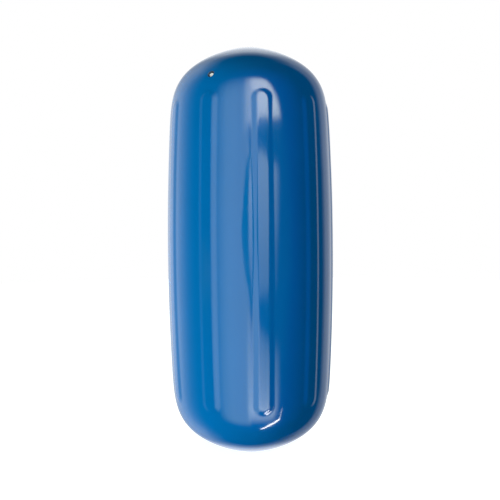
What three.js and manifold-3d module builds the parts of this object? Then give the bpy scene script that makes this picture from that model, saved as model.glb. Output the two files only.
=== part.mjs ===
// Inflatable boat fender with a rope tube through its middle.
// The fender is one soft moulding, so its body is a single closed solid: a bowed barrel with round
// shoulders, long raised ribs and a tube from end to end. A small needle valve sits in one shoulder.
// Millimetres, +Z up along the rope tube, origin on the axis in the plane that the lower end rests on.

import * as THREE from 'three';
import { mergeVertices } from 'three/addons/utils/BufferGeometryUtils.js';
import Module from 'manifold-3d';

// Body: the bare skin without its ribs.
const DIAMETER = 216;
const LENGTH = 520;
const BARREL_BOW = 10.8; // how much the radius would narrow by the ends if only the bow went on
const SHOULDER_HEIGHT = 130; // from where a shoulder starts to turn in, up to the end
const SHOULDER_POWER = 5.3; // a higher number gives a squarer shoulder

// Rope tube and the ring round each of its mouths, where a stopper knot bears.
const BORE = 22;
const MOUTH_RADIUS = 6; // rounding of the mouth, so that it doesn't chafe the rope
const SEAT_WIDTH = 6; // flat part of the ring
const CROWN_EASE = 3; // soft edge between the flat ring and the shoulder, on each side of the corner

// Ribs: long low pads with round ends, evenly spaced round the barrel.
const RIB_COUNT = 10;
const RIB_WIDTH = 27; // from foot to foot
const RIB_FLANK = 9.2; // width of the S-shaped slope on each side of the flat top
const RIB_HEIGHT = 1.2;
const RIB_END_MARGIN = 68; // from a rib's foot to the end of the body
const RIB_ROOT = 2; // how deep the rib runs into the body, so that the two are one
const FIRST_RIB_ANGLE = -81.6; // degrees from +X towards +Y

// Needle valve: a white plug with a round head and a stem, let into the upper shoulder.
const VALVE_DROP = 49; // from the upper end down to the valve, along the axis
const VALVE_RIB = 9; // counted from the first rib, the rib that the valve sits above
const VALVE_TURN = -0.4; // degrees from that rib's middle
const VALVE_DEPTH = 1.8; // from the skin down to the plug's face
const VALVE_MOUTH_EASE = 1.5; // how much wider the pocket is at the skin than at the head
const VALVE_HEAD_DIAMETER = 5.4;
const VALVE_HEAD_THICKNESS = 2.4;
const VALVE_HEAD_EDGE = 0.5; // chamfer round the head's face
const VALVE_STEM_DIAMETER = 4.4;
const VALVE_STEM_LENGTH = 8;
const NEEDLE_HOLE = 1.5;
const NEEDLE_LEAD_IN = 0.7; // width of the slope that guides the needle in
const NEEDLE_HOLE_DEPTH = 8;
const FIT_CLEARANCE = 0.3; // all round the plug in its pocket

// How finely the round forms are divided.
const BODY_SEGMENTS = 72;
const BARREL_STEPS = 8;
const SHOULDER_STEPS = 10;
const SHOULDER_SPACING = 0.6; // below 1, so that the steps close up where the shoulder turns fastest
const CORNER_STEPS = 3;
const FLANK_STEPS = 3;
const RIB_END_STEPS = 6;
const RIB_SIDE_STEPS = 7;
const VALVE_SEGMENTS = 24;
const POCKET_OVERRUN = 3; // how far the pocket's cutter stands out of the skin
const MERGE_DISTANCE = 1e-4; // points closer than this are one point

const bodyRadius = DIAMETER / 2;
const halfLength = LENGTH / 2;
const boreRadius = BORE / 2;
const seatInner = boreRadius + MOUTH_RADIUS;
const seatOuter = seatInner + SEAT_WIDTH;
const crownRadius = seatOuter + CROWN_EASE;
const shoulderStart = halfLength - SHOULDER_HEIGHT;
const shoulderDepth = bodyRadius - BARREL_BOW - crownRadius;

const wasm = await Module();
wasm.setup();

// Radius of the bare skin at a height z from mid-length: an even bow, then the shoulder's turn.
function skinRadius(z) {
  const bow = BARREL_BOW * (z / halfLength) ** 2;
  const turn = Math.max(0, (Math.abs(z) - shoulderStart) / SHOULDER_HEIGHT);
  return bodyRadius - bow - shoulderDepth * turn ** SHOULDER_POWER;
}

// How fast the skin narrows with height there.
function skinSlope(z) {
  const turn = Math.max(0, (Math.abs(z) - shoulderStart) / SHOULDER_HEIGHT);
  const shoulder = shoulderDepth * SHOULDER_POWER * turn ** (SHOULDER_POWER - 1) / SHOULDER_HEIGHT;
  return 2 * BARREL_BOW * z / halfLength ** 2 + Math.sign(z) * shoulder;
}

// A closed geometry as a solid that can be joined and cut.
function toSolid(geometry) {
  const bare = geometry.clone();
  bare.deleteAttribute('normal');
  bare.deleteAttribute('uv');
  const merged = mergeVertices(bare, MERGE_DISTANCE);
  const index = merged.index.array;
  const corners = [];
  for (let i = 0; i < index.length; i += 3) {
    const [a, b, c] = [index[i], index[i + 1], index[i + 2]];
    if (a !== b && b !== c && c !== a) corners.push(a, b, c);
  }
  const mesh = new wasm.Mesh({
    numProp: 3,
    vertProperties: new Float32Array(merged.attributes.position.array),
    triVerts: new Uint32Array(corners),
  });
  return new wasm.Manifold(mesh);
}

function toGeometry(solid) {
  const mesh = solid.getMesh();
  const geometry = new THREE.BufferGeometry();
  geometry.setAttribute('position', new THREE.BufferAttribute(mesh.vertProperties, 3));
  geometry.setIndex(new THREE.BufferAttribute(mesh.triVerts, 1));
  geometry.computeVertexNormals();
  return geometry;
}

// Turns a profile of (radius, height) points about the Z axis.
function revolve(points, segments) {
  const geometry = new THREE.LatheGeometry(points, segments);
  geometry.rotateX(Math.PI / 2);
  return geometry;
}

// The upper half of the body's section, from the skin at mid-length to the tube at mid-length.
function upperProfile() {
  const points = [];
  for (let i = 0; i < BARREL_STEPS / 2; i += 1) {
    const z = shoulderStart * 2 * i / BARREL_STEPS;
    points.push(new THREE.Vector2(skinRadius(z), z));
  }
  for (let i = 0; i < SHOULDER_STEPS; i += 1) {
    const z = shoulderStart + SHOULDER_HEIGHT * (i / SHOULDER_STEPS) ** SHOULDER_SPACING;
    points.push(new THREE.Vector2(skinRadius(z), z));
  }
  const corner = new THREE.Vector2(crownRadius, halfLength);
  const crownDrop = CROWN_EASE / skinSlope(halfLength);
  const onShoulder = new THREE.Vector2(crownRadius + CROWN_EASE, halfLength - crownDrop);
  const onSeat = new THREE.Vector2(seatOuter, halfLength);
  const crown = new THREE.QuadraticBezierCurve(onShoulder, corner, onSeat);
  points.push(...crown.getPoints(CORNER_STEPS));
  const mouth = new THREE.EllipseCurve(
    seatInner, halfLength - MOUTH_RADIUS, MOUTH_RADIUS, MOUTH_RADIUS, Math.PI / 2, Math.PI, false,
  );
  points.push(...mouth.getPoints(CORNER_STEPS));
  points.push(new THREE.Vector2(boreRadius, 0));
  return points;
}

function barrelSolid() {
  const upper = upperProfile();
  const lower = upper.slice(1, -1).map((point) => new THREE.Vector2(point.x, -point.y));
  const section = [...lower.reverse(), ...upper];
  section.push(section[0].clone());
  return toSolid(revolve(section, BODY_SEGMENTS));
}

// A rib starts as a low round button, with the rib's section from its middle out to its foot.
function ribSection() {
  const flatHalf = RIB_WIDTH / 2 - RIB_FLANK;
  const points = [new THREE.Vector2(0, -RIB_ROOT), new THREE.Vector2(RIB_WIDTH / 2, -RIB_ROOT)];
  for (let i = FLANK_STEPS; i >= 0; i -= 1) {
    const way = i / FLANK_STEPS;
    const height = RIB_HEIGHT * (1 + Math.cos(Math.PI * way)) / 2;
    points.push(new THREE.Vector2(flatHalf + RIB_FLANK * way, height));
  }
  points.push(new THREE.Vector2(0, RIB_HEIGHT));
  return points;
}

// One step of the walk round the rib's outline: the point on its middle line, and the way out from it.
function ribStation(step, straight) {
  const lap = 2 * (RIB_END_STEPS + RIB_SIDE_STEPS);
  const half = lap / 2;
  const onFarHalf = step % lap >= half;
  const k = step % half;
  const side = onFarHalf ? -1 : 1;
  const turned = Math.min(k / RIB_END_STEPS, 1) * Math.PI;
  const slid = Math.max(k - RIB_END_STEPS, 0) / RIB_SIDE_STEPS;
  return { middle: side * straight * (0.5 - slid), angle: turned + (onFarHalf ? Math.PI : 0) };
}

// The button is drawn out to the rib's length and laid round the barrel at the given angle.
function ribSolid(angle) {
  const section = ribSection();
  const length = LENGTH - 2 * RIB_END_MARGIN;
  const straight = length - RIB_WIDTH;
  const button = new THREE.LatheGeometry(section, 2 * (RIB_END_STEPS + RIB_SIDE_STEPS));
  const position = button.attributes.position;
  for (let i = 0; i < position.count; i += 1) {
    const point = section[i % section.length];
    const station = ribStation(Math.floor(i / section.length), straight);
    const across = point.x * Math.cos(station.angle);
    const z = station.middle + point.x * Math.sin(station.angle);
    const skin = skinRadius(z);
    const turn = angle + across / skin;
    const radius = skin + point.y;
    position.setXYZ(i, radius * Math.cos(turn), radius * Math.sin(turn), z);
  }
  return toSolid(button);
}

// The valve's frame: its origin on the skin, its Z axis straight out of the skin.
function valveFrame() {
  const z = halfLength - VALVE_DROP;
  const angle = THREE.MathUtils.degToRad(FIRST_RIB_ANGLE + VALVE_RIB * 360 / RIB_COUNT + VALVE_TURN);
  const radius = skinRadius(z);
  const frame = new THREE.Object3D();
  frame.position.set(radius * Math.cos(angle), radius * Math.sin(angle), z);
  const outward = new THREE.Vector3(Math.cos(angle), Math.sin(angle), skinSlope(z)).normalize();
  frame.quaternion.setFromUnitVectors(new THREE.Vector3(0, 0, 1), outward);
  frame.updateMatrix();
  return frame;
}

const valveFace = -VALVE_DEPTH;
const valveShoulder = valveFace - VALVE_HEAD_THICKNESS;
const valveEnd = valveShoulder - VALVE_STEM_LENGTH;

// The pocket follows the plug with the fit clearance, and opens out softly towards the skin.
function valvePocket() {
  const headRadius = VALVE_HEAD_DIAMETER / 2 + FIT_CLEARANCE;
  const stemRadius = VALVE_STEM_DIAMETER / 2 + FIT_CLEARANCE;
  const mouthRadius = headRadius + VALVE_MOUTH_EASE;
  const section = [
    new THREE.Vector2(0, valveEnd - FIT_CLEARANCE),
    new THREE.Vector2(stemRadius, valveEnd - FIT_CLEARANCE),
    new THREE.Vector2(stemRadius, valveShoulder - FIT_CLEARANCE),
    new THREE.Vector2(headRadius, valveShoulder - FIT_CLEARANCE),
    new THREE.Vector2(headRadius, -VALVE_MOUTH_EASE),
    new THREE.Vector2(mouthRadius, 0),
    new THREE.Vector2(mouthRadius, POCKET_OVERRUN),
    new THREE.Vector2(0, POCKET_OVERRUN),
  ];
  return revolve(section, VALVE_SEGMENTS);
}

function valvePlug() {
  const headRadius = VALVE_HEAD_DIAMETER / 2;
  const stemRadius = VALVE_STEM_DIAMETER / 2;
  const needleRadius = NEEDLE_HOLE / 2;
  const section = [
    new THREE.Vector2(0, valveEnd),
    new THREE.Vector2(stemRadius - VALVE_HEAD_EDGE, valveEnd),
    new THREE.Vector2(stemRadius, valveEnd + VALVE_HEAD_EDGE),
    new THREE.Vector2(stemRadius, valveShoulder),
    new THREE.Vector2(headRadius, valveShoulder),
    new THREE.Vector2(headRadius, valveFace - VALVE_HEAD_EDGE),
    new THREE.Vector2(headRadius - VALVE_HEAD_EDGE, valveFace),
    new THREE.Vector2(needleRadius + NEEDLE_LEAD_IN, valveFace),
    new THREE.Vector2(needleRadius, valveFace - NEEDLE_LEAD_IN),
    new THREE.Vector2(needleRadius, valveFace - NEEDLE_HOLE_DEPTH),
    new THREE.Vector2(0, valveFace - NEEDLE_HOLE_DEPTH),
  ];
  return revolve(section, VALVE_SEGMENTS);
}

function fenderBody(frame) {
  let solid = barrelSolid();
  for (let i = 0; i < RIB_COUNT; i += 1) {
    const angle = THREE.MathUtils.degToRad(FIRST_RIB_ANGLE + i * 360 / RIB_COUNT);
    solid = solid.add(ribSolid(angle));
  }
  solid = solid.subtract(toSolid(valvePocket().applyMatrix4(frame.matrix)));
  const vinyl = new THREE.MeshStandardMaterial({ color: 0x0066a8, roughness: 0.2, metalness: 0 });
  const mesh = new THREE.Mesh(toGeometry(solid), vinyl);
  mesh.name = 'fender_body';
  return mesh;
}

function valveInsert(frame) {
  const rubber = new THREE.MeshStandardMaterial({ color: 0xe8ebea, roughness: 0.55, metalness: 0 });
  const mesh = new THREE.Mesh(valvePlug(), rubber);
  mesh.name = 'valve_insert';
  mesh.position.copy(frame.position);
  mesh.quaternion.copy(frame.quaternion);
  return mesh;
}

const frame = valveFrame();
const fender = new THREE.Group();
fender.add(fenderBody(frame));
fender.add(valveInsert(frame));
fender.position.z = halfLength;

export default fender;
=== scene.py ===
# %% [markdown]
# # Boat fender: the looks
# A boat fender is a bag of soft vinyl full of air. It hangs on a rope between a hull and a dock, and
# keeps the two apart. This lesson dresses the plain solids of the part: it models the skin finely
# enough to mirror the light without facets, gives each piece its finish, and lights it as a small
# studio would. All sizes are in metres, with +Z up along the rope tube, and the floor at zero.

import math

import bmesh
import bpy
from mathutils import Matrix, Vector, noise


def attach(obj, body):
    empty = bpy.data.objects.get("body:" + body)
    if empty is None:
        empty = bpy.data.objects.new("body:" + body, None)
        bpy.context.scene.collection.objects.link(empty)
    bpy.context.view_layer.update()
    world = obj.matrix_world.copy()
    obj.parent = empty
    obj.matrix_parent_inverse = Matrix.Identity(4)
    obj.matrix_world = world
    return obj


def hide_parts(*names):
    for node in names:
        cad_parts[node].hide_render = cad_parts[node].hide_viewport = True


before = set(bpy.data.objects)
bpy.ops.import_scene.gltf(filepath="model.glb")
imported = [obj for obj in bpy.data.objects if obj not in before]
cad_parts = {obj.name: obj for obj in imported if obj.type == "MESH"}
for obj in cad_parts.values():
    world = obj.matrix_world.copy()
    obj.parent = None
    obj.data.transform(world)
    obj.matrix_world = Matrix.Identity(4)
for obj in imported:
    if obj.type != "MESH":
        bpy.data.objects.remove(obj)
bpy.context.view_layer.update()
print("pieces in the frame:", sorted(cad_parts))

# %% [markdown]
# ## Sizes
# The skin has to lie where the solids lie, so it repeats their named sizes. A fender is drawn from
# few numbers: a bowed barrel, shoulders that turn in faster and faster, and long low ribs.

# %% Sizes of the fender
MM = 0.001
RADIUS = 108 * MM
HALF = 260 * MM
BARREL_BOW = 10.8 * MM
SHOULDER = 130 * MM
SHOULDER_POWER = 5.3
BORE_RADIUS = 11 * MM
MOUTH_RADIUS = 6 * MM
SEAT_WIDTH = 6 * MM
CROWN_EASE = 3 * MM
RIB_COUNT = 10
RIB_WIDTH = 27 * MM
RIB_FLANK = 9.2 * MM
RIB_HEIGHT = 1.2 * MM
RIB_END_MARGIN = 68 * MM
FIRST_RIB = math.radians(-81.6)
RIB_PITCH = math.tau / RIB_COUNT

SEAT_INNER = BORE_RADIUS + MOUTH_RADIUS
SEAT_OUTER = SEAT_INNER + SEAT_WIDTH
CROWN_RADIUS = SEAT_OUTER + CROWN_EASE
SHOULDER_DEPTH = RADIUS - BARREL_BOW - CROWN_RADIUS
RIB_TOP_HALF = RIB_WIDTH / 2 - RIB_FLANK
RIB_STRAIGHT_HALF = HALF - RIB_END_MARGIN - RIB_WIDTH / 2


def shoulder_turn(height):
    """How far the shoulder has turned in, from 0 where it starts to 1 at the end."""
    return max(0.0, (abs(height) - (HALF - SHOULDER)) / SHOULDER)


def skin_radius(height):
    """Radius of the bare skin, at a height from mid-length."""
    turned = SHOULDER_DEPTH * shoulder_turn(height) ** SHOULDER_POWER
    return RADIUS - BARREL_BOW * (height / HALF) ** 2 - turned


def skin_slope(height):
    """How fast the skin narrows with height."""
    turned = SHOULDER_DEPTH * SHOULDER_POWER * shoulder_turn(height) ** (SHOULDER_POWER - 1) / SHOULDER
    return 2 * BARREL_BOW * height / HALF ** 2 + math.copysign(turned, height)


print(f"radius {skin_radius(0) / MM:.1f} mm at mid-length, {skin_radius(HALF) / MM:.1f} mm at the ends")

# %% [markdown]
# ## The section
# The real skin is cast in a turning mould, so its section is one line from the widest place, over
# the shoulder, across the small flat ring that the rope's knot bears on, and down the rope tube.
# A spin needs that line as a chain of points. The points stand close where the skin turns quickly
# or where a rib ends, and far apart along the barrel.

# %% The upper half of the section
END_ZONE = (170 * MM, 196 * MM)  # where the ribs' round ends lie
BARREL_STEP = 9 * MM
END_ZONE_STEP = 1.15 * MM
SHOULDER_STEP = 2.3 * MM
CROWN_GAP = 0.4 * MM  # the least step left before the crown
CROWN_STEPS = 4
MOUTH_STEPS = 8


def row_step(height):
    """Distance from one point of the section to the next, along the skin."""
    if height < END_ZONE[0]:
        return BARREL_STEP
    if height < END_ZONE[1]:
        return END_ZONE_STEP
    return SHOULDER_STEP


def upper_section():
    """(radius, height) pairs from mid-length on the skin to mid-length in the tube."""
    crown_start = HALF - CROWN_EASE / skin_slope(HALF)
    points = []
    height = 0.0
    while height < crown_start - CROWN_GAP:
        points.append((skin_radius(height), height))
        height += row_step(height) / math.hypot(1, skin_slope(height))
    for i in range(CROWN_STEPS + 1):
        t = i / CROWN_STEPS
        begin, bend, end = (1 - t) ** 2, 2 * t * (1 - t), t * t
        radius = begin * (CROWN_RADIUS + CROWN_EASE) + bend * CROWN_RADIUS + end * SEAT_OUTER
        points.append((radius, begin * crown_start + (1 - begin) * HALF))
    points.append(((SEAT_OUTER + SEAT_INNER) / 2, HALF))
    for i in range(MOUTH_STEPS + 1):
        turn = math.radians(90 + 90 * i / MOUTH_STEPS)
        radius = SEAT_INNER + MOUTH_RADIUS * math.cos(turn)
        points.append((radius, HALF - MOUTH_RADIUS + MOUTH_RADIUS * math.sin(turn)))
    points.append((BORE_RADIUS, HALF * 0.5))
    points.append((BORE_RADIUS, 0.0))
    return points


upper = upper_section()
lower = [(radius, -height) for radius, height in upper[1:-1]]
section = upper + lower[::-1]
print(len(section), "points in the section")

# %% [markdown]
# ## The ribs
# The ribs are moulded into the skin, with round ends and soft flanks shaped like an S. The solids
# have them as added pads, but on a shiny skin any seam would show in the reflections. Here each
# point of the skin is lifted by the rib's height above it instead, so that skin and rib are one
# surface. Points are drawn together where the flanks run, because that is where the form bends.

# %% Height of the ribs above the skin
def rib_height(angle, height):
    """How far the ribs lift the skin, at an angle about the axis and a height from mid-length."""
    off_middle = (angle - FIRST_RIB + RIB_PITCH / 2) % RIB_PITCH - RIB_PITCH / 2
    across = off_middle * skin_radius(height)
    past_end = max(0.0, abs(height) - RIB_STRAIGHT_HALF)
    way = (math.hypot(across, past_end) - RIB_TOP_HALF) / RIB_FLANK
    way = min(max(way, 0.0), 1.0)
    return RIB_HEIGHT * (1 + math.cos(math.pi * way)) / 2


# Steps of the spin in half a pitch: (angle from the rib's middle in degrees, step number there).
COLUMNS = ((0, 0), (1.8, 2), (8.1, 12), (18, 18))
STEPS_PER_RIB = 2 * COLUMNS[-1][1]


def drawn_together(angle):
    """Moves an evenly spaced column to its place, close by the flanks and wide elsewhere."""
    off = (angle - FIRST_RIB + RIB_PITCH / 2) % RIB_PITCH - RIB_PITCH / 2
    step = abs(off) / RIB_PITCH * STEPS_PER_RIB
    for (angle_a, step_a), (angle_b, step_b) in zip(COLUMNS, COLUMNS[1:]):
        if step <= step_b:
            break
    placed = math.radians(angle_a + (angle_b - angle_a) * (step - step_a) / (step_b - step_a))
    return angle - off + math.copysign(placed, off)


print("rib stands", round(rib_height(FIRST_RIB, 0) / MM, 2), "mm proud in its middle")

# %% [markdown]
# ## Spinning the skin
# A closed section that is spun round the axis gives the whole bag at once, tube and all. Soft
# vinyl that cools and is blown up is never quite true: it keeps slow waves of a tenth of a
# millimetre. They are far too small to see, but they bend the long reflections, which is what makes
# a surface look soft and thick rather than like a turned bar.

# %% Waves of the blown skin
WELD = 0.01 * MM  # points closer than this are one point
BROAD_WAVE = 0.16 * MM
BROAD_SPAN = Vector((1 / (55 * MM), 1 / (55 * MM), 1 / (85 * MM)))
DRAWN_WAVE = 0.025 * MM
DRAWN_SPAN = Vector((1 / (16 * MM), 1 / (16 * MM), 1 / (70 * MM)))


def waviness(point):
    """Slow unevenness of the blown skin: broad waves, and shorter ones drawn out along the bag."""
    broad = noise.noise(point * BROAD_SPAN)
    drawn = noise.noise(point * DRAWN_SPAN + Vector((7, 0, 0)))
    return BROAD_WAVE * broad + DRAWN_WAVE * drawn


print("broad waves of up to", BROAD_WAVE / MM, "mm")

# %% Spin the skin and raise the ribs
WAVES_BEGIN = CROWN_RADIUS + CROWN_EASE + 0.1 * MM  # radius where ribs and waves begin
FADE_IN = 20 * MM  # how far outside CROWN_RADIUS the waves reach their full height


def add_ring(bm, edges):
    """Points of the loop that an extrusion of an open edge loop has made."""
    made = bmesh.ops.extrude_edge_only(bm, edges=edges)["geom"]
    return [item for item in made if isinstance(item, bmesh.types.BMVert)]


skin = bmesh.new()
chain = [skin.verts.new((radius, 0, height)) for radius, height in section]
for a, b in zip(chain, chain[1:] + chain[:1]):
    skin.edges.new((a, b))
bmesh.ops.rotate(skin, verts=skin.verts, cent=(0, 0, 0), matrix=Matrix.Rotation(FIRST_RIB, 3, "Z"))
bmesh.ops.spin(
    skin, geom=skin.verts[:] + skin.edges[:], cent=(0, 0, 0), axis=(0, 0, 1), dvec=(0, 0, 0),
    angle=math.tau, steps=STEPS_PER_RIB * RIB_COUNT, use_merge=True, use_duplicate=False,
)
bmesh.ops.remove_doubles(skin, verts=skin.verts, dist=WELD)
bmesh.ops.recalc_face_normals(skin, faces=skin.faces)

for vert in skin.verts:
    radius = math.hypot(vert.co.x, vert.co.y)
    angle = drawn_together(math.atan2(vert.co.y, vert.co.x))
    if radius > WAVES_BEGIN:
        eased = min(1.0, (radius - CROWN_RADIUS) / FADE_IN)
        on_skin = Vector((radius * math.cos(angle), radius * math.sin(angle), vert.co.z))
        radius += rib_height(angle, vert.co.z) + eased * waviness(on_skin)
    vert.co.x = radius * math.cos(angle)
    vert.co.y = radius * math.sin(angle)
print(len(skin.faces), "faces after the spin")

# %% [markdown]
# ## The valve's pocket
# Air goes in through a needle valve, a small rubber plug let into the shoulder above one rib. The
# skin dips softly round it. The faces there are deleted, a round ring of points is laid on the skin
# in the gap and bridged to it, and that ring is then extruded down to make lip, wall and floor.

# %% Find the valve's place
VALVE_HEIGHT = HALF - 49 * MM
VALVE_ANGLE = FIRST_RIB + 9 * RIB_PITCH - math.radians(0.4)
VALVE_DEPTH = 1.8 * MM

valve_radius = skin_radius(VALVE_HEIGHT)
east, north = math.cos(VALVE_ANGLE), math.sin(VALVE_ANGLE)
valve_origin = Vector((valve_radius * east, valve_radius * north, VALVE_HEIGHT))
valve_out = Vector((east, north, skin_slope(VALVE_HEIGHT))).normalized()
valve_frame = Matrix.Translation(valve_origin) @ valve_out.to_track_quat("Z", "Y").to_matrix().to_4x4()
print("valve sits", round(VALVE_HEIGHT / MM), "mm above mid-length")

# %% Open the skin and sink the pocket
POCKET_GAP = 6.6 * MM  # reach of the faces that make room for the pocket
POCKET_LIP = 5.1  # radius in mm
LIP_DEPTH = 1.3  # in mm: from there down, a ring no longer follows the bend of the skin
POCKET_SEGMENTS = 48
# (radius, depth under the skin) in mm of each ring, from the lip down to the stem's inner end.
POCKET = (
    (4.8, 0.03), (4.5, 0.12), (4.2, 0.3), (3.8, 0.65), (3.4, 1.05), (3.1, 1.4), (3.0, 1.8),
    (3.0, 4.5), (2.95, 4.55), (2.5, 4.55), (2.5, 12.4), (2.4, 12.5), (1.2, 12.5),
)

inside = [face for face in skin.faces if (face.calc_center_median() - valve_origin).length < POCKET_GAP]
bmesh.ops.delete(skin, geom=inside, context="FACES")
gap_edges = [edge for edge in skin.edges if edge.is_boundary]
lip = bmesh.ops.create_circle(
    skin, segments=POCKET_SEGMENTS, radius=POCKET_LIP * MM, matrix=valve_frame,
)["verts"]
for vert in lip:
    angle = math.atan2(vert.co.y, vert.co.x)
    radius = skin_radius(vert.co.z) + waviness(vert.co)
    vert.co.x = radius * math.cos(angle)
    vert.co.y = radius * math.sin(angle)
lip_edges = list({edge for vert in lip for edge in vert.link_edges})
bmesh.ops.bridge_loops(skin, edges=gap_edges + lip_edges)

ring_edges = lip_edges
ring_radius = POCKET_LIP
to_valve = valve_frame.inverted()
for radius, depth in POCKET:
    ring = add_ring(skin, ring_edges)
    bmesh.ops.scale(skin, verts=ring, vec=(radius / ring_radius, radius / ring_radius, 1), space=to_valve)
    for vert in ring:
        local = to_valve @ vert.co
        follow = max(0.0, 1 - depth / LIP_DEPTH)
        local.z = local.z * follow * (radius / ring_radius) ** 2 - depth * MM * (1 - follow * 0.5)
        vert.co = valve_frame @ local
    ring_edges = [edge for edge in {e for v in ring for e in v.link_edges} if edge.is_boundary]
    ring_radius = radius
bmesh.ops.contextual_create(skin, geom=ring_edges)
bmesh.ops.recalc_face_normals(skin, faces=skin.faces)
print("open edges left in the skin:", sum(edge.is_boundary for edge in skin.edges))

# %% [markdown]
# ## Finishing a piece
# Each finished mesh becomes an object at the world's origin, unturned and unscaled, that rides on
# the part's one body. The lift of half the length brings the lower ring down to the floor.

# %% Make objects from the meshes
def finish_piece(bm, name, node, smooth_angle=math.radians(60)):
    """Turns a mesh about mid-length into an object that stands for one CAD node."""
    bmesh.ops.translate(bm, verts=bm.verts, vec=(0, 0, HALF))
    mesh = bpy.data.meshes.new(name)
    bm.to_mesh(mesh)
    bm.free()
    mesh.shade_smooth()
    mesh.set_sharp_from_angle(angle=smooth_angle)
    piece = bpy.data.objects.new(name, mesh)
    bpy.context.scene.collection.objects.link(piece)
    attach(piece, "root")
    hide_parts(node)
    triangles = sum(len(face.vertices) - 2 for face in mesh.polygons)
    print(f"{name}: {triangles} triangles, top at {max(v.co.z for v in mesh.vertices) / MM:.1f} mm")
    return piece


fender_skin = finish_piece(skin, "fender_skin", "fender_body")

# %% [markdown]
# ## The needle valve
# The plug is moulded in white rubber: a flat round head with a broken edge, a stem that seals in
# the skin, and a fine hole that closes again when the needle comes out. It is a turned shape, so
# its section is spun too, and the points at the axis are merged into one.

# %% Spin the plug
# (radius, height over the skin) in mm, from the stem's inner end over the head to the needle hole.
PLUG = (
    (0.0, -12.2), (1.6, -12.2), (2.2, -11.7), (2.2, -4.5), (2.3, -4.2), (2.55, -4.2), (2.7, -4.05),
    (2.7, -2.3), (2.64, -2.05), (2.48, -1.88), (2.2, -1.8), (1.8, -1.76), (1.5, -1.78), (1.3, -1.88),
    (1.1, -2.1), (0.85, -2.5), (0.75, -3.1), (0.75, -9.8), (0.0, -9.8),
)
plug = bmesh.new()
chain = [plug.verts.new((radius * MM, 0, height * MM)) for radius, height in PLUG]
for a, b in zip(chain, chain[1:]):
    plug.edges.new((a, b))
bmesh.ops.spin(
    plug, geom=plug.verts[:] + plug.edges[:], cent=(0, 0, 0), axis=(0, 0, 1), dvec=(0, 0, 0),
    angle=math.tau, steps=POCKET_SEGMENTS, use_merge=True, use_duplicate=False,
)
bmesh.ops.remove_doubles(plug, verts=plug.verts, dist=WELD)
bmesh.ops.recalc_face_normals(plug, faces=plug.faces)
bmesh.ops.transform(plug, matrix=valve_frame, verts=plug.verts)
needle_valve = finish_piece(plug, "needle_valve", "valve_insert", math.radians(40))

# %% [markdown]
# ## Helpers for materials
# Colours are written as a designer writes them, in sRGB hex. The renderer counts in linear light,
# so one function converts them. Another adds one node with its settings and what feeds it, and a
# third makes an empty material to put the nodes in.

# %% Colour and node helpers
def linear(code):
    """An sRGB hex colour as the linear colour that the shader wants."""
    parts = [int(code[i:i + 2], 16) / 255 for i in (1, 3, 5)]
    return [p / 12.92 if p <= 0.04045 else ((p + 0.055) / 1.055) ** 2.4 for p in parts] + [1.0]


def add(tree, kind, feeds=(), **settings):
    """Adds a node; feeds gives each input a value or the socket that feeds it."""
    node = tree.nodes.new(kind)
    for name, value in settings.items():
        setattr(node, name, value)
    for key, value in dict(feeds).items():
        if isinstance(value, bpy.types.NodeSocket):
            tree.links.new(value, node.inputs[key])
        else:
            node.inputs[key].default_value = value
    return node


def new_material(name):
    """An empty node material, with its tree."""
    material = bpy.data.materials.new(name)
    material.use_nodes = True
    material.node_tree.nodes.clear()
    return material, material.node_tree


print("dock blue in linear light:", [round(c, 3) for c in linear("#0066a8")[:3]])

# %% [markdown]
# ## Material: cast soft PVC
# Fender skins are plasticised PVC, cast against the wall of a polished mould. That leaves a thick,
# wet-looking gloss of IOR 1.53 over a colour that goes all the way through. Three things keep it
# from looking like lacquer: the pigment is not stirred in perfectly, so the blue drifts a little
# over a hand's width; the gloss is duller where the skin has been handled; and the surface has the
# shallow grain of orange peel, about 3 mm from crest to crest, over flow lines that run along the
# bag. The valve's pocket gets a painted shade, a dark ring of about a millimetre round the plug.

# %% Cast vinyl
DRIFT_SPAN = 70 * MM
HANDLED_SPAN = 30 * MM
PEEL_SPAN = 3 * MM
PEEL_DEPTH = 0.006 * MM
FLOW_SPAN = (12 * MM, 12 * MM, 60 * MM)
FLOW_DEPTH = 0.03 * MM
POCKET_SHADE_RING = (3.9 * MM, 4.7 * MM)  # from the valve's middle: full painted shade, and none


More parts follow.
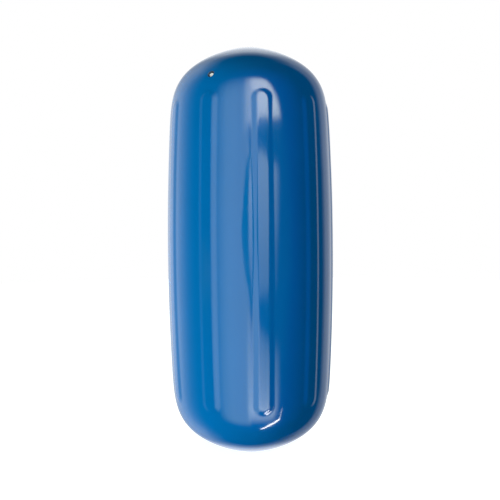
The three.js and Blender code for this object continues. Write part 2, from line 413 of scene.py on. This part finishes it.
def cast_vinyl():
    """Blue vinyl with its drift of colour, its worn gloss, its grain and painted shade round the plug."""
    material, tree = new_material("cast_soft_pvc_blue")
    place = add(tree, "ShaderNodeTexCoord").outputs["Object"]
    drift = add(tree, "ShaderNodeTexNoise", {
        "Vector": place, "Scale": 1 / DRIFT_SPAN, "Detail": 3.0, "Roughness": 0.45,
    })
    blue = add(tree, "ShaderNodeMix", {
        "Factor": drift.outputs["Fac"], 6: linear("#0064a4"), 7: linear("#0068ad"),
    }, data_type="RGBA")
    handled = add(tree, "ShaderNodeTexNoise", {
        "Vector": place, "Scale": 1 / HANDLED_SPAN, "Detail": 4.0, "Roughness": 0.6,
    })
    gloss = add(tree, "ShaderNodeMapRange", {
        "Value": handled.outputs["Fac"], "From Min": 0.35, "From Max": 0.7, "To Min": 0.07, "To Max": 0.11,
    })
    centre = valve_origin + Vector((0, 0, HALF))
    off = add(tree, "ShaderNodeVectorMath", {0: place, 1: centre}, operation="DISTANCE")
    # painted shade: a dark ring in the valve's pocket, round the plug
    pocket_shade = add(tree, "ShaderNodeMapRange", {
        "Value": off.outputs["Value"], "From Min": POCKET_SHADE_RING[0], "From Max": POCKET_SHADE_RING[1],
        "To Min": 1.0, "To Max": 0.0,
    }).outputs["Result"]
    # painted shade: the blue in the pocket's ring is mixed to a near-black blue
    blue_with_pocket_shade = add(tree, "ShaderNodeMix", {
        "Factor": pocket_shade, 6: blue.outputs[2], 7: linear("#1c2a30"),
    }, data_type="RGBA")
    dulled = add(tree, "ShaderNodeMix", {"Factor": pocket_shade, 2: gloss.outputs["Result"], 3: 0.7})
    peel = add(tree, "ShaderNodeTexNoise", {"Vector": place, "Scale": 1 / PEEL_SPAN, "Detail": 1.0})
    grain = add(tree, "ShaderNodeBump", {"Height": peel.outputs["Fac"], "Distance": PEEL_DEPTH})
    drawn = add(tree, "ShaderNodeMapping", {"Vector": place, "Scale": [1 / span for span in FLOW_SPAN]})
    flow = add(tree, "ShaderNodeTexNoise", {"Vector": drawn.outputs["Vector"], "Scale": 1.0, "Detail": 2.0})
    skin_bump = add(tree, "ShaderNodeBump", {
        "Height": flow.outputs["Fac"], "Distance": FLOW_DEPTH, "Normal": grain.outputs["Normal"],
    })
    shader = add(tree, "ShaderNodeBsdfPrincipled", {
        "Base Color": blue_with_pocket_shade.outputs[2], "Roughness": dulled.outputs[0], "IOR": 1.53,
        "Normal": skin_bump.outputs["Normal"],
    })
    add(tree, "ShaderNodeOutputMaterial", {"Surface": shader.outputs["BSDF"]})
    return material


fender_skin.data.materials.append(cast_vinyl())
print("finish of the skin:", fender_skin.data.materials[0].name)

# %% [markdown]
# ## Material: moulded white rubber
# The plug is a soft moulded rubber, so it has a matt face with a fine grain of half a millimetre.
# In and round the needle hole it turns a darker, warmer grey.

# %% Moulded rubber
HOLE_DARKENING_RING = (0.7 * MM, 1.3 * MM)  # from the needle hole's middle: fully darker, and not at all
PORE_SPAN = 0.5 * MM
PORE_DEPTH = 0.02 * MM


def moulded_rubber():
    """White rubber with fine pores, darker in and round the needle hole."""
    material, tree = new_material("moulded_rubber_white")
    place = add(tree, "ShaderNodeTexCoord").outputs["Object"]
    centre = valve_origin + Vector((0, 0, HALF)) - valve_out * VALVE_DEPTH
    off = add(tree, "ShaderNodeVectorMath", {0: place, 1: centre}, operation="DISTANCE")
    hole_darkening = add(tree, "ShaderNodeMapRange", {
        "Value": off.outputs["Value"], "From Min": HOLE_DARKENING_RING[0], "From Max": HOLE_DARKENING_RING[1],
        "To Min": 1.0, "To Max": 0.0,
    })
    white = add(tree, "ShaderNodeMix", {
        "Factor": hole_darkening.outputs["Result"], 6: linear("#fbfbf8"), 7: linear("#8f8c84"),
    }, data_type="RGBA")
    pores = add(tree, "ShaderNodeTexNoise", {"Vector": place, "Scale": 1 / PORE_SPAN, "Detail": 2.0})
    dull = add(tree, "ShaderNodeMapRange", {
        "Value": pores.outputs["Fac"], "From Min": 0.3, "From Max": 0.7, "To Min": 0.5, "To Max": 0.62,
    })
    grain = add(tree, "ShaderNodeBump", {"Height": pores.outputs["Fac"], "Distance": PORE_DEPTH})
    shader = add(tree, "ShaderNodeBsdfPrincipled", {
        "Base Color": white.outputs[2], "Roughness": dull.outputs["Result"], "IOR": 1.52,
        "Normal": grain.outputs["Normal"],
    })
    add(tree, "ShaderNodeOutputMaterial", {"Surface": shader.outputs["BSDF"]})
    return material


needle_valve.data.materials.append(moulded_rubber())
print("finish of the plug:", needle_valve.data.materials[0].name)

# %% [markdown]
# ## The studio: what the gloss mirrors
# A glossy thing is lit mostly by what it mirrors. The fender mirrors tall panels of cloth that
# stand two metres in front of it, left and right of the camera, with gaps between them. Each is a
# plane that only reflections see, so it throws no shadow. The plain light that shows the blue itself
# comes from the lamp and the room, further on.

# %% Cards that only reflections see
def card(name, corners, distance):
    """A flat card in front of the part, with its outline given as (x, z) corners."""
    bm = bmesh.new()
    outline = [bm.verts.new((x, -distance, z)) for x, z in corners]
    bm.faces.new(outline)
    mesh = bpy.data.meshes.new(name)
    bm.to_mesh(mesh)
    bm.free()
    piece = bpy.data.objects.new(name, mesh)
    bpy.context.scene.collection.objects.link(piece)
    piece.visible_camera = False
    piece.visible_diffuse = False
    piece.visible_transmission = False
    piece.visible_shadow = False
    return piece


print("cards are hidden from the camera and from plain light")

# %% [markdown]
# ## Helpers for the strength of light
# Light on a card or in the room rises and falls with place. Five small functions keep that easy to
# read: a smooth rise between two places, a product, a sum, how far a way points along a direction,
# and a colour times a strength.

# %% Strength helpers
def fade(tree, along, start, end):
    """Rises smoothly from 0 at start to 1 at end, in either direction."""
    node = add(tree, "ShaderNodeMapRange", {
        "Value": along, "From Min": start, "From Max": end,
    }, interpolation_type="SMOOTHSTEP")
    return node.outputs["Result"]


def times(tree, *factors):
    """The product of several sockets or numbers."""
    product = factors[0]
    for factor in factors[1:]:
        product = add(tree, "ShaderNodeMath", {0: product, 1: factor}, operation="MULTIPLY").outputs[0]
    return product


def plus(tree, value, factor, to):
    """value times factor, plus to."""
    return add(tree, "ShaderNodeMath", {0: value, 1: factor, 2: to}, operation="MULTIPLY_ADD").outputs[0]


def toward(tree, way, direction):
    """How far a way points along a direction, as the dot product."""
    along = add(tree, "ShaderNodeVectorMath", {0: way, 1: direction}, operation="DOT_PRODUCT")
    return along.outputs["Value"]


def scaled(tree, colour, strength):
    """A colour times a strength."""
    return add(tree, "ShaderNodeVectorMath", {0: colour, "Scale": strength}, operation="SCALE").outputs[0]


print("helpers: fade, times, plus, toward, scaled")

# %% [markdown]
# ## A panel of cloth
# A panel is a hanging cloth that is lit from behind. Its light fades softly at the sides, the edges
# that hang free are ragged, and pleats make it lighter and darker across. Where two panels overlap,
# one shines through the other, so the shader adds light to a clear sheet. Two clear sheets in one
# plane would hide each other, so the panels stand two centimetres apart.

# %% Make a panel
MARGIN = 0.4  # of cloth past the end of the light, in metres
FOLDS_PER_METRE = (7.0, 1.0, 0.6)
PLEATS_PER_METRE = (11.0, 1.0, 0.25)
PLEAT_LOW = 0.75
PLEAT_SWING = 0.5


def cloth_noise(tree, place, per_metre, detail):
    """Noise drawn out down the cloth."""
    drawn = add(tree, "ShaderNodeMapping", {"Vector": place, "Scale": per_metre})
    grain = add(tree, "ShaderNodeTexNoise", {
        "Vector": drawn.outputs["Vector"], "Scale": 1.0, "Detail": detail,
    })
    return grain.outputs["Fac"]


def panel(name, left, right, bottom, top, level, tint, distance, ragged=0.0, lean=0.0, slant=0.0):
    """A thin glowing cloth, so that one shines through the other where two overlap.
    Each side is a pair: where its light starts, and where it is full.
    level is (height, strength) twice. lean moves the right side out, per metre below the top.
    slant lowers the upper and lower sides, per metre to the right."""
    reach = right[0] + max(0.0, lean * (top[0] - bottom[0]))
    foot, head = bottom[0] - MARGIN, top[0] + MARGIN
    piece = card(name, [(left[0], foot), (reach, foot), (reach, head), (left[0], head)], distance)
    material, tree = new_material(name + "_cloth")
    place = add(tree, "ShaderNodeTexCoord").outputs["Object"]
    axes = add(tree, "ShaderNodeSeparateXYZ", {0: place}).outputs
    x, z = axes["X"], plus(tree, axes["X"], slant, axes["Z"])
    frayed = cloth_noise(tree, place, FOLDS_PER_METRE, 3.0)
    z = plus(tree, frayed, 2 * ragged, plus(tree, z, 1.0, -ragged))
    x_right = plus(tree, plus(tree, z, 1.0, -top[0]), lean, x)
    (low, weak), (high, strong) = level
    strength = add(tree, "ShaderNodeMapRange", {
        "Value": z, "From Min": low, "From Max": high, "To Min": weak, "To Max": strong,
    }).outputs["Result"]
    pleated = plus(tree, cloth_noise(tree, place, PLEATS_PER_METRE, 2.0), PLEAT_SWING, PLEAT_LOW)
    glow = times(
        tree, strength, pleated, fade(tree, x, *left), fade(tree, x_right, *right),
        fade(tree, z, *bottom), fade(tree, z, *top),
    )
    light = add(tree, "ShaderNodeEmission", {"Color": (*tint, 1), "Strength": glow})
    clear = add(tree, "ShaderNodeBsdfTransparent")
    both = add(tree, "ShaderNodeAddShader", {0: light.outputs[0], 1: clear.outputs[0]})
    add(tree, "ShaderNodeOutputMaterial", {"Surface": both.outputs[0]})
    piece.data.materials.append(material)


print("pleats change a panel's light by a factor of", PLEAT_LOW, "to", PLEAT_LOW + PLEAT_SWING)

# %% [markdown]
# ## Hanging the panels
# One broad cool panel stands on the left and makes the wide pale band down the bag. On the right
# hang three warmer ones, one over the other. The uppermost is the brightest, as if sun fell on it.

# %% Hang the panels
COOL = (1.0, 1.22, 0.88)
WARM = (1.0, 1.10, 0.95)
SUN_LIT = (1.0, 1.0, 0.85)
panel(
    "left_panel", left=(-2.5, -0.92), right=(0.06, -0.10), bottom=(-2.7, -1.6), top=(3.0, 1.2),
    level=((-1.0, 1.6), (1.0, 1.6)), tint=COOL, distance=2.00,
)
panel(
    "right_panel_top", left=(-0.42, 0.40), right=(1.07, 0.48), bottom=(0.93, 0.985), top=(2.9, 2.0),
    level=((1.0, 8.1), (2.0, 8.1)), tint=SUN_LIT, distance=2.02, ragged=0.06, lean=0.6, slant=-0.13,
)
panel(
    "right_panel_middle", left=(-0.15, 0.0), right=(1.88, 1.30), bottom=(-0.10, 0.0), top=(0.84, 0.77),
    level=((0.0, 1.3), (0.8, 3.0)), tint=WARM, distance=2.04, ragged=0.06, lean=-0.35,
)
panel(
    "right_panel_low", left=(-0.25, 0.05), right=(1.90, 1.25), bottom=(-2.3, -0.9), top=(-0.12, -0.26),
    level=((-1.0, 5.1), (-0.2, 1.2)), tint=WARM, distance=2.06, ragged=0.06, slant=0.2,
)
print("panels stand 2 m in front")

# %% [markdown]
# ## A dark card and a bright strip
# A dark blue card of uneven width stands a little nearer than the panels. It makes the dark crescent
# left of the middle rib, and its outline was worked back from that crescent's edges. Low on the
# right stands a narrow bright strip that bends inwards at its foot. The lower shoulder mirrors it as
# one small bright stroke.

# %% The dark card and the bright strip
def plain_card(name, corners, tint, strength, distance):
    """A card of one even colour and strength, with hard edges."""
    piece = card(name, corners, distance)
    material, tree = new_material(name + "_sheet")
    light = add(tree, "ShaderNodeEmission", {"Color": (*tint, 1), "Strength": strength})
    add(tree, "ShaderNodeOutputMaterial", {"Surface": light.outputs[0]})
    piece.data.materials.append(material)


DARK_BLUE = (0.0, 0.8, 2.0)
LAMP_WHITE = (1, 1, 1)
plain_card("dark_gap", [
    (0.06, 0.82), (0.02, 0.82), (-0.001, 0.785), (-0.056, 0.733), (-0.132, 0.689), (-0.19, 0.634),
    (-0.21, 0.579), (-0.265, 0.524), (-0.267, 0.469), (-0.322, 0.414), (-0.351, 0.358),
    (-0.338, 0.292), (-0.298, 0.219), (-0.258, 0.164), (-0.223, 0.109), (-0.158, 0.054),
    (-0.072, -0.001), (-0.037, -0.057), (0.023, -0.113), (0.082, -0.113), (0.047, -0.057),
    (0.03, -0.001), (0.033, 0.054), (-0.006, 0.11), (-0.034, 0.22), (-0.038, 0.291),
    (-0.043, 0.357), (-0.062, 0.467), (-0.055, 0.522), (-0.039, 0.577), (-0.019, 0.633),
    (-0.003, 0.688), (0.065, 0.733), (0.075, 0.79),
], DARK_BLUE, 1.0, 1.9)
plain_card("low_strip", [
    (2.05, -1.45), (2.03, -2.2), (2.14, -2.2), (2.13, -1.45),
], LAMP_WHITE, 8.0, 2.0)
plain_card("low_strip_bend", [
    (2.03, -2.2), (1.28, -2.56), (0.72, -3.22), (0.80, -3.46), (1.42, -2.86), (2.22, -2.42), (2.14, -2.2),
], LAMP_WHITE, 27.0, 2.0)
print("one dark card and a strip in two lengths")

# %% [markdown]
# ## The studio: plain light
# The blue itself is shown by light that has no shape. A broad soft lamp stands on the left, a
# little low, so that the skin falls off to navy where it turns to the right. Reflections don't see
# it, because the panels already stand for all that the gloss mirrors.

# %% The soft lamp
KEY_TURN = math.radians(-58)  # from the camera's side, towards the left
KEY_RISE = math.radians(-15)
KEY_DISTANCE = 1.5
KEY_SIZE = 0.8
KEY_WATTS = 22.5

to_key = Vector((
    math.sin(KEY_TURN) * math.cos(KEY_RISE), -math.cos(KEY_TURN) * math.cos(KEY_RISE), math.sin(KEY_RISE),
))
key_data = bpy.data.lights.new("key_lamp", "AREA")
key_data.shape = "SQUARE"
key_data.size = KEY_SIZE
key_data.energy = KEY_WATTS
key_data.color = (1.0, 0.97, 0.93)
key = bpy.data.objects.new("key_lamp", key_data)
key.location = Vector((0, 0, HALF)) + to_key * KEY_DISTANCE
key.rotation_euler = to_key.to_track_quat("Z", "Y").to_euler()
key.visible_camera = False
key.visible_glossy = False
key.visible_transmission = False
bpy.context.scene.collection.objects.link(key)
print("lamp of", key_data.energy, "W")

# %% [markdown]
# ## The white backdrop in the rims
# Seen edge-on, any gloss mirrors what stands behind it, and that is a pale backdrop. Its strength
# changes on the way round, and that draws the rims of the bag light against the white ground, but
# not so light that the outline is lost. It fades out towards straight up and straight down. Towards
# the shoulders the rims are dimmer, and in the middle of both ends they are brighter.

# %% The backdrop's strength all round
# (degrees, strength): 0 is the camera's side, and 90 the right.
ROUND_THE_ROOM = (
    (-180, 0.95), (-160, 0.90), (-148, 1.05), (-136, 1.40), (-118, 1.40), (-111, 1.05), (-102, 0.63),
    (-94, 0.25), (-86, 0.06), (-80, 0.0), (117, 0.0), (127, 0.70), (138, 0.72), (147, 0.95),
    (155, 0.90), (180, 0.95),
)
RAMP_TOP = 1.5  # strength that a full stop of the ramp stands for
BACKDROP_TINT = (0.97, 1.0, 1.05)
BACKDROP_END = (0.92, 0.74)  # sine of the height where it ends, and where it is full
STEEP = (0.10, 0.50)  # sine of the height where the change at the ends begins, and where it is full
BESIDE = (0.30, 0.08)  # how far off the middle the brighter part begins, and where it is full
SHOULDER_GAIN = -0.30
MIDDLE_GAIN = 0.65  # comes on top of the shoulders' gain


def round_the_room(tree, way):
    """Light of the backdrop in a direction, from the list of angles and strengths."""
    axes = add(tree, "ShaderNodeSeparateXYZ", {0: way}).outputs
    ahead = times(tree, axes["Y"], -1.0)
    flat = add(tree, "ShaderNodeCombineXYZ", {"X": ahead, "Y": axes["X"]})
    turn = add(tree, "ShaderNodeTexGradient", {0: flat.outputs[0]}, gradient_type="RADIAL")
    ramp = add(tree, "ShaderNodeValToRGB", {"Fac": turn.outputs["Fac"]})
    stops = ramp.color_ramp.elements
    for degrees, _ in ROUND_THE_ROOM[1:-1]:
        stops.new(degrees / 360 + 0.5)
    for stop, (_, strength) in zip(stops, ROUND_THE_ROOM):
        share = strength / RAMP_TOP
        stop.color = (share, share, share, 1)
    height = add(tree, "ShaderNodeMath", {0: axes["Z"]}, operation="ABSOLUTE").outputs[0]
    level = add(tree, "ShaderNodeMapRange", {
        "Value": height, "From Min": BACKDROP_END[0], "From Max": BACKDROP_END[1],
    }).outputs["Result"]
    aside = add(tree, "ShaderNodeMath", {0: axes["X"]}, operation="ABSOLUTE").outputs[0]
    gain = plus(tree, fade(tree, aside, *BESIDE), MIDDLE_GAIN, SHOULDER_GAIN)
    sweep = plus(tree, times(tree, fade(tree, height, *STEEP), gain), 1.0, 1.0)
    strength = times(tree, ramp.outputs["Color"], level, sweep, RAMP_TOP)
    return scaled(tree, BACKDROP_TINT, strength)


print("backdrop set at", len(ROUND_THE_ROOM), "angles")

# %% [markdown]
# ## The room
# What is left is the room itself. Reflections see it as a deep blue on the camera's side, a little
# greener to the right. Plain light gets a dim bluish glow from it, with more of it from below, from
# the right and from the camera's side, and a paler share from straight above and straight below.
# The camera sees plain white.

# %% The room
DEEP_BLUE = (0, 0.30, 2.0, 1)
GREENER_BLUE = (0, 0.62, 2.1, 1)
BLUE_HEADING = (0.259, -0.966, 0.0)  # 15 degrees to the right of the camera's side
BLUE_REACH = (0.22, 0.86)
GREENER_HEADING = (0.5, -0.866, 0.0)  # 30 degrees to the right of it
GREENER_REACH = (0.84, 0.97)
GLOW_LEVEL = 0.27
GLOW_SLOPE = (0.18, -0.12, -0.24)  # change of the glow to the right, to the back and upwards
GLOW_TINT = (0.85, 0.94, 1.25)
END_LIGHT_TINT = (0.9, 1.15, 0.7)
END_LIGHT_POWER = 6.0


def mirrored_room(tree, way):
    """What reflections see: the blue room in front and the backdrop behind."""
    greener = add(tree, "ShaderNodeMix", {
        "Factor": fade(tree, toward(tree, way, GREENER_HEADING), *GREENER_REACH),
        6: DEEP_BLUE, 7: GREENER_BLUE,
    }, data_type="RGBA")
    blue_room = add(tree, "ShaderNodeMix", {
        "Factor": fade(tree, toward(tree, way, BLUE_HEADING), *BLUE_REACH),
        6: (0, 0, 0, 1), 7: greener.outputs[2],
    }, data_type="RGBA")
    both = add(tree, "ShaderNodeMix", {
        "Factor": 1.0, 6: blue_room.outputs[2], 7: round_the_room(tree, way),
    }, data_type="RGBA", blend_type="ADD")
    return both.outputs[2]


def plain_glow(tree, way):
    """The dim light that falls on the part from all sides."""
    glow = plus(tree, toward(tree, way, GLOW_SLOPE), 1.0, GLOW_LEVEL)
    height = add(tree, "ShaderNodeSeparateXYZ", {0: way}).outputs["Z"]
    ends = add(tree, "ShaderNodeMath", {0: height, 1: END_LIGHT_POWER}, operation="POWER").outputs[0]
    return add(tree, "ShaderNodeVectorMath", {
        0: scaled(tree, GLOW_TINT, glow), 1: scaled(tree, END_LIGHT_TINT, ends),
    }).outputs[0]


def room():
    """White for the camera, the mirrored room for reflections, and the plain glow for the rest."""
    world = bpy.data.worlds.new("studio")
    bpy.context.scene.world = world
    world.use_nodes = True
    tree = world.node_tree
    tree.nodes.clear()
    way = add(tree, "ShaderNodeTexCoord").outputs["Generated"]
    path = add(tree, "ShaderNodeLightPath").outputs
    mirrored = add(tree, "ShaderNodeMix", {
        "Factor": path["Is Glossy Ray"], 6: plain_glow(tree, way), 7: mirrored_room(tree, way),
    }, data_type="RGBA")
    seen = add(tree, "ShaderNodeMath", {
        0: path["Is Camera Ray"], 1: path["Is Transmission Ray"],
    }, operation="MAXIMUM")
    shown = add(tree, "ShaderNodeMix", {
        "Factor": seen.outputs[0], 6: mirrored.outputs[2], 7: (1, 1, 1, 1),
    }, data_type="RGBA")
    light = add(tree, "ShaderNodeBackground", {"Color": shown.outputs[2], "Strength": 1.0})
    add(tree, "ShaderNodeOutputWorld", {"Surface": light.outputs[0]})
    return world


print("room:", room().name)

# %% [markdown]
# ## The floor
# The photograph's ground is pure white, so the floor is a pale disc that shows white to the camera
# and keeps the soft shadow under the bag, where its white is also painted a little lower as painted
# shade. Reflections don't see it, because on the real product the glossy lower shoulder mirrors the
# panels and no floor.

# %% Pale floor
FLOOR_RADIUS = 3.0
SHADED_REACH = (0.06, 0.35)  # from the middle: where the painted shade is darkest, and where the floor is full white
SHADED_LEVEL = 0.93


def floor():
    """A pale disc under the part."""
    bm = bmesh.new()
    bmesh.ops.create_circle(bm, cap_ends=True, segments=96, radius=FLOOR_RADIUS)
    mesh = bpy.data.meshes.new("floor")
    bm.to_mesh(mesh)
    bm.free()
    disc = bpy.data.objects.new("floor", mesh)
    bpy.context.scene.collection.objects.link(disc)
    disc.visible_glossy = False
    disc.visible_shadow = False
    material, tree = new_material("pale_floor_paper")
    place = add(tree, "ShaderNodeTexCoord").outputs["Object"]
    reach = add(tree, "ShaderNodeVectorMath", {0: place}, operation="LENGTH").outputs["Value"]
    # painted shade: the white the camera sees is lowered round the foot, where the real shadow falls too
    white_with_painted_shade = add(tree, "ShaderNodeMapRange", {
        "Value": reach, "From Min": SHADED_REACH[0], "From Max": SHADED_REACH[1],
        "To Min": SHADED_LEVEL, "To Max": 1.0,
    }, interpolation_type="SMOOTHSTEP")
    path = add(tree, "ShaderNodeLightPath").outputs
    paper = add(tree, "ShaderNodeBsdfDiffuse", {"Color": linear("#f0f0ee")})
    shown = times(tree, white_with_painted_shade.outputs["Result"], path["Is Camera Ray"])
    white = add(tree, "ShaderNodeEmission", {"Strength": shown})
    both = add(tree, "ShaderNodeAddShader", {0: paper.outputs[0], 1: white.outputs[0]})
    add(tree, "ShaderNodeOutputMaterial", {"Surface": both.outputs[0]})
    mesh.materials.append(material)
    return disc


print("floor:", floor().name)

# %% [markdown]
# ## The camera
# The photograph was taken from just above mid-height, at about three quarters of a metre.
# The bag leans by less than half a degree in it, which is a tilt of the camera and not of the bag.

# %% Camera
CAMERA_DISTANCE = 0.7836
CAMERA_RISE = math.radians(1.55)
CAMERA_ROLL = math.radians(-0.43)
CAMERA_LENS = 42.48
AIM_LIFT = 0.9 * MM

camera_data = bpy.data.cameras.new("camera")
camera_data.sensor_width = 36
camera_data.lens = CAMERA_LENS
camera = bpy.data.objects.new("camera", camera_data)
aim = Vector((0, 0, HALF + AIM_LIFT))
back = Vector((0, -math.cos(CAMERA_RISE), math.sin(CAMERA_RISE)))
camera.location = aim + back * CAMERA_DISTANCE
turned = back.to_track_quat("Z", "Y").to_matrix() @ Matrix.Rotation(CAMERA_ROLL, 3, "Z")
camera.rotation_euler = turned.to_euler()
bpy.context.scene.collection.objects.link(camera)
bpy.context.scene.camera = camera
bpy.context.scene.view_settings.view_transform = "Standard"
print("camera at", [round(c, 3) for c in camera.location])
